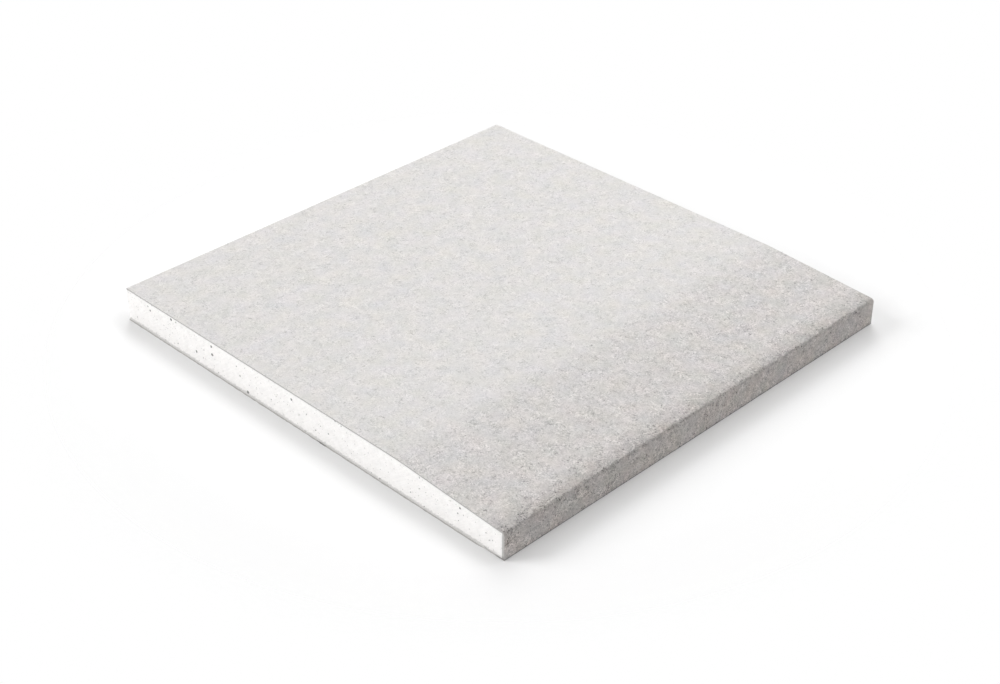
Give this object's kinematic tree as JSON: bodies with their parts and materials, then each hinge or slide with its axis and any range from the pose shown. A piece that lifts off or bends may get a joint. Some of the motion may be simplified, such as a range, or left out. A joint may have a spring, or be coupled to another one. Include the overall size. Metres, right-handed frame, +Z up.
{
  "type": "drywall sheet",
  "caption": "Square cut of paper-faced gypsum board with a tapered, paper-wrapped factory edge; lines walls and ceilings.",
  "frame": {"origin": "on the floor under the middle of the square: bounding box bottom centre", "axes": "+Z up out of the face, +X along the factory edge, +Y across the sheet away from the factory edge, which faces -Y"},
  "size_m": [0.18, 0.184, 0.0127],
  "materials": {
    "gypsum": "cut set gypsum, matt white with fine air pits",
    "face_paper": "uncoated ivory-grey face paper, matt, with fine mottled fibres",
    "back_paper": "uncoated grey-brown recycled liner, matt, with coarse fibres"
  },
  "bodies": {
    "root": {"gypsum_core": "gypsum", "face_paper": "face_paper", "back_paper": "back_paper"}
  },
  "joints": []
}
